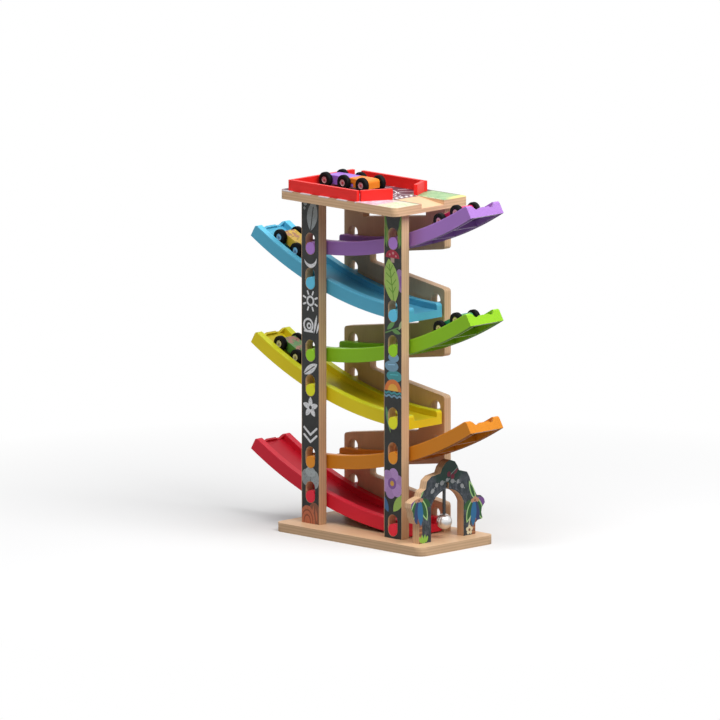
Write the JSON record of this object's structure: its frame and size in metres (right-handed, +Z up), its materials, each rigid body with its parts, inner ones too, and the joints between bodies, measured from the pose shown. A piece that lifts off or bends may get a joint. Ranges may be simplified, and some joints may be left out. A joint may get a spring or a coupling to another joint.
{
  "type": "toy car ramp",
  "caption": "Tall wooden zigzag ramp tower: toy cars roll from a fenced deck down curved coloured troughs and out through a gate with a swinging ball.",
  "frame": {"origin": "centre of the base board's underside", "axes": "+X along the base towards the gate, +Y from the front posts to the back panel, +Z up"},
  "size_m": [0.4102, 0.1447, 0.4829],
  "materials": {
    "birch_plywood": "fine grain, satin lacquer",
    "chalkboard_print": "plywood with a dark printed front face",
    "rock_print": "plywood with a dark printed face",
    "fence_red": "painted wood, satin",
    "plastic_red": "moulded plastic, satin gloss",
    "plastic_orange": "moulded plastic, satin gloss",
    "plastic_yellow": "moulded plastic, satin gloss",
    "plastic_green": "moulded plastic, satin gloss",
    "plastic_blue": "moulded plastic, satin gloss",
    "plastic_purple": "moulded plastic, satin gloss",
    "car_green": "painted wood",
    "car_teal": "painted wood",
    "car_yellow": "painted wood",
    "car_red": "painted wood",
    "car_purple": "painted wood",
    "car_orange": "painted wood",
    "tyre_black": "matt black tyre on a coloured hub",
    "steel": "drawn wire",
    "polished_steel": "polished",
    "dark_wire": "blackened wire"
  },
  "bodies": {
    "tower": {"base_board": "birch_plywood", "front_post_left": "chalkboard_print", "front_post_right": "chalkboard_print", "back_panel": "birch_plywood", "top_deck": "birch_plywood", "fence_left": "fence_red", "fence_front": "fence_red", "fence_back": "fence_red", "funnel_front": "fence_red", "funnel_back": "fence_red", "gate_arch": "rock_print", "ball_pin": "steel"},
    "red_ramp": {"red_ramp": "plastic_red"},
    "orange_ramp": {"orange_ramp": "plastic_orange"},
    "yellow_ramp": {"yellow_ramp": "plastic_yellow"},
    "green_car": {"green_car_body": "car_green"},
    "green_car_rear_wheelset": {"green_car_rear_wheels": "tyre_black", "green_car_rear_axle": "steel"},
    "green_car_front_wheelset": {"green_car_front_wheels": "tyre_black", "green_car_front_axle": "steel"},
    "green_ramp": {"green_ramp": "plastic_green"},
    "teal_car": {"teal_car_body": "car_teal"},
    "teal_car_rear_wheelset": {"teal_car_rear_wheels": "tyre_black", "teal_car_rear_axle": "steel"},
    "teal_car_front_wheelset": {"teal_car_front_wheels": "tyre_black", "teal_car_front_axle": "steel"},
    "blue_ramp": {"blue_ramp": "plastic_blue"},
    "yellow_car": {"yellow_car_body": "car_yellow"},
    "yellow_car_rear_wheelset": {"yellow_car_rear_wheels": "tyre_black", "yellow_car_rear_axle": "steel"},
    "yellow_car_front_wheelset": {"yellow_car_front_wheels": "tyre_black", "yellow_car_front_axle": "steel"},
    "purple_ramp": {"purple_ramp": "plastic_purple"},
    "red_car": {"red_car_body": "car_red"},
    "red_car_rear_wheelset": {"red_car_rear_wheels": "tyre_black", "red_car_rear_axle": "steel"},
    "red_car_front_wheelset": {"red_car_front_wheels": "tyre_black", "red_car_front_axle": "steel"},
    "long_car": {"long_car_rear_body": "car_purple", "long_car_front_body": "car_orange"},
    "long_car_rear_wheelset": {"long_car_rear_wheels": "tyre_black", "long_car_rear_axle": "steel"},
    "long_car_middle_wheelset": {"long_car_middle_wheels": "tyre_black", "long_car_middle_axle": "steel"},
    "long_car_front_wheelset": {"long_car_front_wheels": "tyre_black", "long_car_front_axle": "steel"},
    "ball": {"ball_rod": "dark_wire", "steel_ball": "polished_steel"}
  },
  "joints": [
    {"name": "red_ramp_lift", "type": "slide", "parent": "tower", "child": "red_ramp", "axis": [0, 0, 1], "range_m": [0, 0.012]},
    {"name": "orange_ramp_lift", "type": "slide", "parent": "tower", "child": "orange_ramp", "axis": [0, 0, 1], "range_m": [0, 0.012]},
    {"name": "yellow_ramp_lift", "type": "slide", "parent": "tower", "child": "yellow_ramp", "axis": [0, 0, 1], "range_m": [0, 0.012]},
    {"name": "green_car_roll", "type": "hinge", "parent": "yellow_ramp", "child": "green_car", "pos_m": [0.074, 0.002, 0.7382], "axis": [0, -1, 0], "range_deg": [-1.9, 23.5]},
    {"name": "green_car_rear_spin", "type": "hinge", "parent": "green_car", "child": "green_car_rear_wheelset", "pos_m": [-0.18134, 0.002, 0.24081], "axis": [0, 1, 0], "continuous": true},
    {"name": "green_car_front_spin", "type": "hinge", "parent": "green_car", "child": "green_car_front_wheelset", "pos_m": [-0.15064, 0.002, 0.22621], "axis": [0, 1, 0], "continuous": true},
    {"name": "green_ramp_lift", "type": "slide", "parent": "tower", "child": "green_ramp", "axis": [0, 0, 1], "range_m": [0, 0.012]},
    {"name": "teal_car_roll", "type": "hinge", "parent": "green_ramp", "child": "teal_car", "pos_m": [-0.108, 0.002, 0.8103], "axis": [0, 1, 0], "range_deg": [-1.9, 23.5]},
    {"name": "teal_car_rear_spin", "type": "hinge", "parent": "teal_car", "child": "teal_car_rear_wheelset", "pos_m": [0.14734, 0.002, 0.31291], "axis": [0, -1, 0], "continuous": true},
    {"name": "teal_car_front_spin", "type": "hinge", "parent": "teal_car", "child": "teal_car_front_wheelset", "pos_m": [0.11664, 0.002, 0.29831], "axis": [0, -1, 0], "continuous": true},
    {"name": "blue_ramp_lift", "type": "slide", "parent": "tower", "child": "blue_ramp", "axis": [0, 0, 1], "range_m": [0, 0.012]},
    {"name": "yellow_car_roll", "type": "hinge", "parent": "blue_ramp", "child": "yellow_car", "pos_m": [0.074, 0.002, 0.8824], "axis": [0, -1, 0], "range_deg": [-1.9, 23.5]},
    {"name": "yellow_car_rear_spin", "type": "hinge", "parent": "yellow_car", "child": "yellow_car_rear_wheelset", "pos_m": [-0.18134, 0.002, 0.38501], "axis": [0, 1, 0], "continuous": true},
    {"name": "yellow_car_front_spin", "type": "hinge", "parent": "yellow_car", "child": "yellow_car_front_wheelset", "pos_m": [-0.15064, 0.002, 0.37041], "axis": [0, 1, 0], "continuous": true},
    {"name": "purple_ramp_lift", "type": "slide", "parent": "tower", "child": "purple_ramp", "axis": [0, 0, 1], "range_m": [0, 0.012]},
    {"name": "red_car_roll", "type": "hinge", "parent": "purple_ramp", "child": "red_car", "pos_m": [-0.108, 0.002, 0.9545], "axis": [0, 1, 0], "range_deg": [-1.9, 23.5]},
    {"name": "red_car_rear_spin", "type": "hinge", "parent": "red_car", "child": "red_car_rear_wheelset", "pos_m": [0.14734, 0.002, 0.45711], "axis": [0, -1, 0], "continuous": true},
    {"name": "red_car_front_spin", "type": "hinge", "parent": "red_car", "child": "red_car_front_wheelset", "pos_m": [0.11664, 0.002, 0.44251], "axis": [0, -1, 0], "continuous": true},
    {"name": "long_car_roll", "type": "slide", "parent": "tower", "child": "long_car", "axis": [1, 0, 0], "range_m": [0, 0.067]},
    {"name": "long_car_rear_spin", "type": "hinge", "parent": "long_car", "child": "long_car_rear_wheelset", "pos_m": [-0.0962, 0.002, 0.4726], "axis": [0, 1, 0], "continuous": true},
    {"name": "long_car_middle_spin", "type": "hinge", "parent": "long_car", "child": "long_car_middle_wheelset", "pos_m": [-0.0622, 0.002, 0.4726], "axis": [0, 1, 0], "continuous": true},
    {"name": "long_car_front_spin", "type": "hinge", "parent": "long_car", "child": "long_car_front_wheelset", "pos_m": [-0.0282, 0.002, 0.4726], "axis": [0, 1, 0], "continuous": true},
    {"name": "ball_swing", "type": "hinge", "parent": "tower", "child": "ball", "pos_m": [0.1077, 0.003, 0.084], "axis": [0, -1, 0], "range_deg": [-20, 60]}
  ]
}
